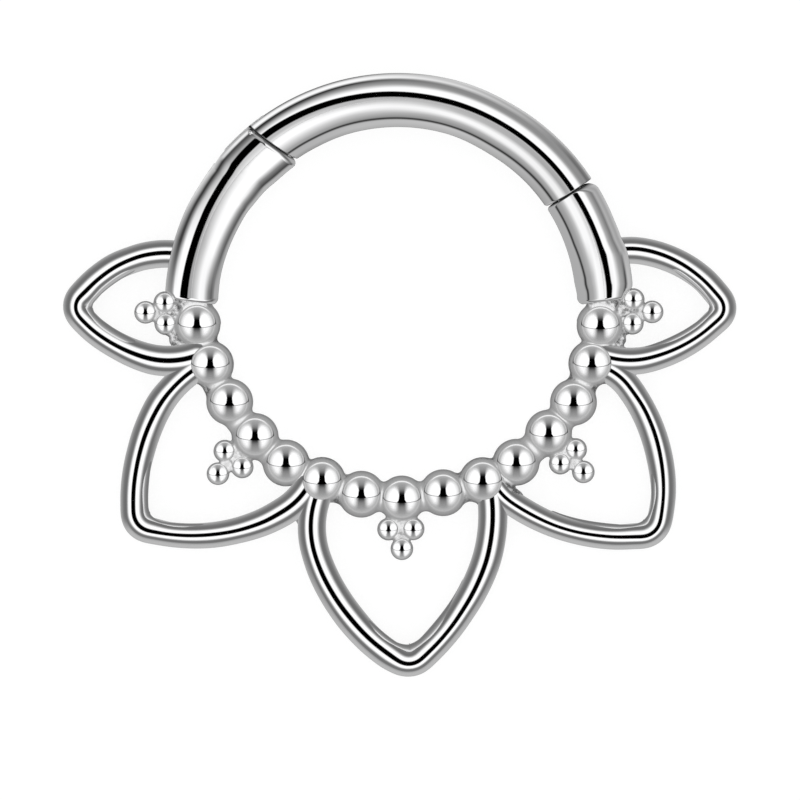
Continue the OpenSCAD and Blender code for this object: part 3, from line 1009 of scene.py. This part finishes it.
def stations(n, l, deg, u, rows):
    """A grey by u whose stops change around the ring: rows are (degrees, stops)."""
    out = grey(n, l, u, rows[0][1])
    for (d0, _), (d1, stops) in zip(rows[:-1], rows[1:]):
        out = blend(n, l, between(n, l, deg, d0, d1), out, grey(n, l, u, stops))
    return out


def course(n, l, deg, rows, col):
    """A number that changes around the ring, straight from row to row."""
    out = between(n, l, deg, rows[0][0], rows[1][0], rows[0][col], rows[1][col])
    for p, c in zip(rows[1:-1], rows[2:]):
        out = math_node(n, l, "ADD", out, between(n, l, deg, p[0], c[0], 0.0, c[col] - p[col]))
    return out


PARALLAX = 0.013  # what is high on the tube is seen this much further out, as a share of the half width


def tube_studio(mid, inner, line, outer, flag, edge=None):
    """A long black flag over the outer half of the tube, with white and grey cards on both sides of it.
    mid: the way the piece faces in plan; inner, outer: what each half mirrors, as (degrees, stops); line: the
    thin dark gap beyond the inner card, as (degrees, lean); flag: (degrees, lean, half width); edge: what the
    rounded edge at a seam mirrors, with the degrees that it faces."""
    def paint(n, l, x, y, z):
        u = lean(n, l, z)
        u_in, u_out = math_node(n, l, "SUBTRACT", u, PARALLAX), math_node(n, l, "ADD", u, PARALLAX)
        az = around(n, l, x, y, mid)
        back = around(n, l, math_node(n, l, "MULTIPLY", x, -1.0), math_node(n, l, "MULTIPLY", y, -1.0), mid)
        far = stations(n, l, back, u_in, inner)
        if line:
            off = math_node(n, l, "ABSOLUTE", math_node(n, l, "SUBTRACT", u_in, course(n, l, back, line, 1)))
            dim = n.new("ShaderNodeVectorMath")
            dim.operation = "SCALE"
            l.new(far, dim.inputs[0])
            l.new(between(n, l, off, 0.006, 0.07, 0.10, 1.0, True), dim.inputs["Scale"])
            far = dim.outputs[0]
        out = stations(n, l, az, u_out, outer)
        over = math_node(n, l, "ABSOLUTE", math_node(n, l, "SUBTRACT", u_out, course(n, l, az, flag, 1)))
        over = math_node(n, l, "SUBTRACT", over, course(n, l, az, flag, 2))
        out = blend(n, l, between(n, l, over, -0.022, 0.018, 0.0, 1.0, True), 0.0, out)
        if edge:
            face, stops = edge
            off = math_node(n, l, "ABSOLUTE", math_node(n, l, "SUBTRACT", az, face))
            out = blend(n, l, between(n, l, off, 36.0, 56.0), grey(n, l, u, stops), out)
        c, s = math.cos(math.radians(mid)), math.sin(math.radians(mid))
        side = math_node(n, l, "ADD", math_node(n, l, "MULTIPLY", x, c), math_node(n, l, "MULTIPLY", y, s))
        both = blend(n, l, between(n, l, side, -0.01, 0.01), far, out)
        under = n.new("ShaderNodeVectorMath")
        under.operation = "SCALE"
        l.new(both, under.inputs[0])
        l.new(between(n, l, z, -0.985, -0.96, 0.0, 1.0, True), under.inputs["Scale"])
        return under.outputs[0]

    return paint


TUBE_SEGMENT = tube_studio(
    79.0,
    [
        (40, [(0.0, 0.47), (0.12, 0.43), (0.26, 1.0), (0.38, 1.0), (0.48, 0.46), (0.62, 0.30), (0.74, 0.48), (0.9, 0.42), (1.0, 0.3)]),
        (72, [(0.0, 0.49), (0.13, 0.58), (0.26, 1.1), (0.34, 1.1), (0.47, 0.52), (0.60, 0.34), (0.76, 0.62), (1.0, 0.46)]),
        (102, [(0.0, 0.6), (0.15, 1.12), (0.23, 1.12), (0.38, 0.64), (0.58, 0.34), (0.74, 0.55), (0.84, 0.56), (1.0, 0.44)]),
        (120, [(0.0, 1.02), (0.08, 1.2), (0.22, 1.15), (0.36, 0.78), (0.54, 0.40), (0.70, 0.5), (0.84, 0.5), (1.0, 0.3)]),
    ],
    [(40, 0.643), (72, 0.68), (102, 0.645), (120, 0.635)],
    [
        (40, [(0.12, 0.52), (0.14, 1.15), (0.45, 1.1), (0.55, 0.42), (0.62, 0.31), (0.75, 0.31), (0.84, 0.16), (0.92, 0.24), (1.0, 0.6)]),
        (72, [(0.15, 0.5), (0.18, 1.15), (0.46, 1.1), (0.56, 0.40), (0.62, 0.29), (0.73, 0.28), (0.84, 0.80), (0.92, 0.57), (1.0, 0.75)]),
        (102, [(0.27, 0.54), (0.29, 1.15), (0.46, 1.15), (0.60, 0.44), (0.72, 0.16), (0.755, 0.03), (0.78, 0.08), (0.82, 0.7), (0.85, 1.15),
               (0.92, 1.0), (0.98, 0.32), (1.0, 0.15)]),
        (120, [(0.0, 1.0), (0.14, 0.56), (0.34, 0.56), (0.36, 1.15), (0.50, 1.1), (0.60, 0.62), (0.70, 0.12), (0.76, 0.01),
               (0.78, 0.05), (0.82, 0.7), (0.85, 1.15), (0.92, 1.0), (0.98, 0.3), (1.0, 0.12)]),
    ],
    [(30, 0.138, 0.102), (42, 0.142, 0.102), (52, 0.136, 0.102), (60, 0.140, 0.104), (80, 0.168, 0.107), (102, 0.258, 0.110), (126, 0.368, 0.128)],
)
TUBE_LEFT = tube_studio(
    157.0,
    [
        (135, [(0.0, 0.97), (0.06, 1.2), (0.47, 1.15), (0.55, 0.60), (0.62, 0.27), (0.72, 0.12), (0.78, 0.06), (0.86, 0.5), (1.0, 0.52)]),
        (145, [(0.0, 0.69), (0.17, 1.05), (0.24, 1.2), (0.56, 1.15), (0.645, 0.57), (0.72, 0.28), (0.80, 0.13), (0.84, 0.09), (0.91, 0.5), (1.0, 0.46)]),
        (163, [(0.0, 0.43), (0.16, 0.67), (0.32, 1.1), (0.52, 1.15), (0.64, 0.60), (0.74, 0.26), (0.82, 0.13), (0.92, 0.4), (1.0, 0.46)]),
        (176, [(0.0, 0.49), (0.16, 0.80), (0.28, 1.12), (0.44, 1.05), (0.52, 0.60), (0.60, 0.28), (0.72, 0.13), (0.80, 0.27), (0.84, 0.44), (1.0, 0.46)]),
    ],
    None,
    [
        (135, [(0.0, 0.97), (0.16, 0.68), (0.38, 0.72), (0.40, 0.42), (0.56, 0.42), (0.64, 0.22), (0.74, 0.07), (0.78, 0.12), (0.83, 0.97),
               (0.88, 0.98), (0.92, 0.56), (0.97, 0.4), (1.0, 0.15)]),
        (145, [(0.0, 0.67), (0.14, 0.60), (0.30, 0.60), (0.32, 0.75), (0.48, 0.72), (0.58, 0.52), (0.70, 0.14), (0.76, 0.03), (0.80, 0.08),
               (0.86, 0.42), (1.0, 0.9)]),
        (163, [(0.25, 0.43), (0.27, 1.15), (0.58, 1.13), (0.68, 0.41), (0.76, 0.06), (0.82, 0.05), (0.90, 0.22), (1.0, 0.5)]),
        (176, [(0.25, 0.43), (0.27, 1.15), (0.68, 1.13), (0.72, 0.62), (0.76, 0.37), (0.80, 0.28), (0.90, 0.33), (1.0, 0.5)]),
    ],
    [(130, 0.392, 0.135), (136, 0.372, 0.136), (145, 0.298, 0.142), (151, 0.268, 0.142), (156, 0.242, 0.14), (163, 0.240, 0.137),
     (170, 0.270, 0.142), (176, 0.303, 0.15), (184, 0.32, 0.15)],
    (54.0, [(0.0, 1.1), (0.04, 0.8), (0.09, 0.05), (0.38, 0.05), (0.48, 0.45), (0.74, 0.48), (0.86, 0.18), (0.95, 0.02), (1.0, 0.02)]),
)
TUBE_RIGHT = tube_studio(
    15.0,
    [
        (8, [(0.0, 1.06), (0.15, 1.12), (0.28, 0.63), (0.38, 0.44), (0.54, 0.38), (0.70, 0.47), (1.0, 0.45)]),
        (19, [(0.0, 0.68), (0.12, 1.08), (0.28, 1.08), (0.40, 0.58), (0.50, 0.42), (0.60, 0.36), (0.74, 0.47), (1.0, 0.45)]),
    ],
    [(8, 0.575), (19, 0.67)],
    [
        (8, [(0.0, 1.05), (0.18, 0.95), (0.42, 1.13), (0.50, 0.75), (0.57, 0.44), (0.68, 0.33), (0.76, 0.05), (0.84, 0.58), (0.90, 0.58), (1.0, 0.45)]),
        (19, [(0.0, 0.68), (0.14, 0.62), (0.16, 1.15), (0.42, 1.12), (0.50, 0.50), (0.60, 0.32), (0.68, 0.22), (0.77, 0.49), (0.88, 0.40), (1.0, 0.6)]),
    ],
    [(-4, 0.21, 0.10), (4, 0.196, 0.099), (8, 0.183, 0.088), (12, 0.178, 0.093), (16, 0.177, 0.107), (20, 0.170, 0.095), (26, 0.152, 0.098),
     (34, 0.14, 0.102)],
    (122.0, [(0.0, 1.0), (0.30, 0.60), (0.55, 0.15), (1.0, 0.03)]),
)


def paint_ledge(n, l, x, y, z):
    u = lean(n, l, z)
    top = grey(n, l, u, [(0.0, 0.0), (0.10, 0.0), (0.14, 0.75), (0.17, 0.84), (0.33, 0.84), (0.40, 0.46), (0.50, 0.32), (0.64, 0.24),
                         (0.78, 0.20), (0.90, 0.20), (1.0, 0.32)])
    low = grey(n, l, u, [(0.0, 0.0), (0.10, 0.0), (0.14, 0.75), (0.17, 0.84), (0.33, 0.84), (0.40, 0.52), (0.52, 0.44), (0.64, 0.52),
                         (0.78, 0.44), (0.90, 0.24), (1.0, 0.32)])
    flat = math_node(n, l, "SQRT", math_node(n, l, "MAXIMUM", math_node(n, l, "SUBTRACT", 1.0, math_node(n, l, "MULTIPLY", z, z)), 1e-5))
    down = math_node(n, l, "DIVIDE", y, flat)
    return blend(n, l, between(n, l, down, -0.75, -0.15, 0.0, 1.0, True), low, top)


def paint_wire(n, l, x, y, z):
    u = lean(n, l, z)
    top = grey(n, l, u, [(0.0, 0.0), (0.125, 0.0), (0.17, 0.9), (0.195, 1.2), (0.33, 1.2), (0.40, 0.85), (0.46, 0.42),
                         (0.52, 0.20), (0.60, 0.165), (0.74, 0.20), (0.86, 0.31), (0.94, 0.42), (1.0, 0.48)])
    low = grey(n, l, u, [(0.0, 0.0), (0.125, 0.0), (0.17, 0.9), (0.195, 1.2), (0.31, 1.2), (0.37, 0.80), (0.42, 0.34),
                         (0.46, 0.19), (0.59, 0.18), (0.66, 0.40), (0.74, 0.52), (0.88, 0.55), (1.0, 0.48)])
    flat = math_node(n, l, "SQRT", math_node(n, l, "MAXIMUM", math_node(n, l, "SUBTRACT", 1.0, math_node(n, l, "MULTIPLY", z, z)), 1e-5))
    down = math_node(n, l, "DIVIDE", y, flat)
    return blend(n, l, between(n, l, down, -0.75, -0.15, 0.0, 1.0, True), low, top)


def paint_band(n, l, x, y, z):
    u = lean(n, l, z)
    return grey(n, l, u, [(0.0, 1.0), (0.35, 0.95), (0.55, 0.60), (0.74, 0.42), (0.86, 0.38), (0.94, 0.30), (1.0, 0.20)])


def paint_dome(n, l, x, y, z, small=False):
    """Above the horizon line: white to both sides and a black flag in the middle that fades upwards; below it
    white sides and a grey middle; a grey surround from level downwards with a light rim at the back."""
    u = lean(n, l, z)
    ax = math_node(n, l, "ABSOLUTE", x)
    up = math_node(n, l, "ADD", math_node(n, l, "ADD", y, 0.165), math_node(n, l, "MULTIPLY", z, 0.235))
    # tilt towards the back, as a share of 180 degrees either way
    tilt = math_node(n, l, "DIVIDE", math_node(n, l, "ARCTAN2", y, z), math.pi)
    back = math_node(n, l, "MAXIMUM", tilt, 0.0)
    front = math_node(n, l, "MAXIMUM", math_node(n, l, "MULTIPLY", tilt, -1.0), 0.0)
    flag = grey(n, l, back, [(0.0, 0.0), (0.14, 0.0), (0.21, 0.05), (0.27, 0.15), (0.34, 0.26), (0.43, 0.34), (0.55, 0.40),
                             (0.66, 0.48), (0.715, 0.95), (0.765, 1.05), (0.81, 0.48), (1.0, 0.35)])
    floor_grey = grey(n, l, front, [(0.0, 0.02), (0.12, 0.02), (0.16, 0.05), (0.21, 0.13), (0.28, 0.23), (0.36, 0.29),
                                    (0.52, 0.37), (0.64, 0.46), (0.78, 0.53), (0.88, 0.45), (1.0, 0.38)])
    if small:
        card = grey(n, l, u, [(0.0, 1.2), (0.80, 1.15), (0.87, 0.95), (0.93, 0.5), (1.0, 0.34)])
        front_card = grey(n, l, u, [(0.0, 1.2), (0.72, 1.12), (0.80, 0.82), (0.88, 0.50), (1.0, 0.32)])
    else:
        card = grey(n, l, u, [(0.0, 1.2), (0.65, 1.15), (0.73, 1.0), (0.80, 0.82), (0.85, 0.58), (0.89, 0.44), (0.915, 0.75),
                              (0.94, 0.78), (0.96, 0.42), (1.0, 0.34)])
        front_card = grey(n, l, u, [(0.0, 1.2), (0.60, 1.12), (0.68, 0.95), (0.76, 0.70), (0.83, 0.56), (0.87, 0.50), (0.91, 0.60),
                                    (0.94, 0.56), (0.96, 0.45), (1.0, 0.38)])
    wide = between(n, l, tilt, 0.0, 0.30, 0.34 if small else 0.29, 0.20 if small else 0.175)
    foot = between(n, l, up, 0.0, 0.34, 0.19 if small else 0.155, 0.0, True)
    wide = math_node(n, l, "ADD", wide, foot)
    soft = between(n, l, back, 0.14, 0.58, 0.055, 0.72)
    t = between(n, l, math_node(n, l, "SUBTRACT", ax, wide), 0.0, soft, 0.0, 1.0, True)
    high = blend(n, l, t, flag, card)
    t2 = between(n, l, ax, 0.15 if small else 0.20, 0.50 if small else 0.74, 0.0, 1.0, True)
    low = blend(n, l, t2, floor_grey, front_card)
    both = blend(n, l, between(n, l, up, -0.012, 0.012), low, high)
    line = between(n, l, math_node(n, l, "ABSOLUTE", up), 0.004, 0.045, 0.16, 1.0, True)
    m = n.new("ShaderNodeVectorMath")
    m.operation = "SCALE"
    l.new(both, m.inputs[0])
    l.new(line, m.inputs["Scale"])
    return m.outputs[0]


def paint_ball(n, l, x, y, z):
    return paint_dome(n, l, x, y, z, True)


dome("studio_segment", 1.9, TUBE_SEGMENT, [segment, pin])
dome("studio_left", 1.95, TUBE_LEFT, [left])
dome("studio_right", 2.0, TUBE_RIGHT, [right])
dome("studio_wire", 2.1, paint_wire, petals)
dome("studio_band", 2.2, paint_band, [band])
dome("studio_bead", 2.3, paint_dome, [domes])
dome("studio_ball", 2.35, paint_ball, [balls])
dome("studio_ledge", 2.15, paint_ledge, [ledges])
for o in (segment, left, right, *petals, ledges, band, domes, balls, pin):
    o.visible_glossy = False

bpy.ops.mesh.primitive_plane_add(size=1.6, location=(0, 0, 0))
floor = bpy.context.object
floor.name = "floor"
m, n, l = new_material("floor_pale")
out = n.new("ShaderNodeOutputMaterial")
df = n.new("ShaderNodeBsdfDiffuse")
df.inputs["Color"].default_value = (0.16, 0.16, 0.16, 1)
em = n.new("ShaderNodeEmission")
em.inputs["Color"].default_value = (1, 1, 1, 1)
em.inputs["Strength"].default_value = 0.88
add = n.new("ShaderNodeAddShader")
l.new(df.outputs[0], add.inputs[0])
l.new(em.outputs[0], add.inputs[1])
l.new(add.outputs[0], out.inputs["Surface"])
m.cycles.emission_sampling = "NONE"
floor.data.materials.append(m)
floor.visible_glossy = False

world = bpy.data.worlds.new("studio")
bpy.context.scene.world = world
world.use_nodes = True
n, l = world.node_tree.nodes, world.node_tree.links
n.clear()
out = n.new("ShaderNodeOutputWorld")
bg = n.new("ShaderNodeBackground")
lp = n.new("ShaderNodeLightPath")
inv = math_node(n, l, "SUBTRACT", 1.0, lp.outputs["Is Glossy Ray"])
l.new(inv, bg.inputs["Strength"])
bg.inputs["Color"].default_value = (1, 1, 1, 1)
l.new(bg.outputs[0], out.inputs["Surface"])

# ---------------------------------------------------------------------------------------
# Camera: straight above the ring, a long lens
# ---------------------------------------------------------------------------------------
cam = bpy.data.objects.new("camera", bpy.data.cameras.new("camera"))
bpy.context.scene.collection.objects.link(cam)
cam.data.sensor_width = 36.0
cam.data.lens = 1000.0
cam.data.clip_start = 0.005
cam.data.clip_end = 10.0
WIDTH = 0.01782
dist = WIDTH * cam.data.lens / cam.data.sensor_width
cam.location = (0.000051, -0.002094, 0.0005 + dist)
cam.rotation_euler = (0, 0, 0)
bpy.context.scene.camera = cam
bpy.context.scene.view_settings.view_transform = "Standard"
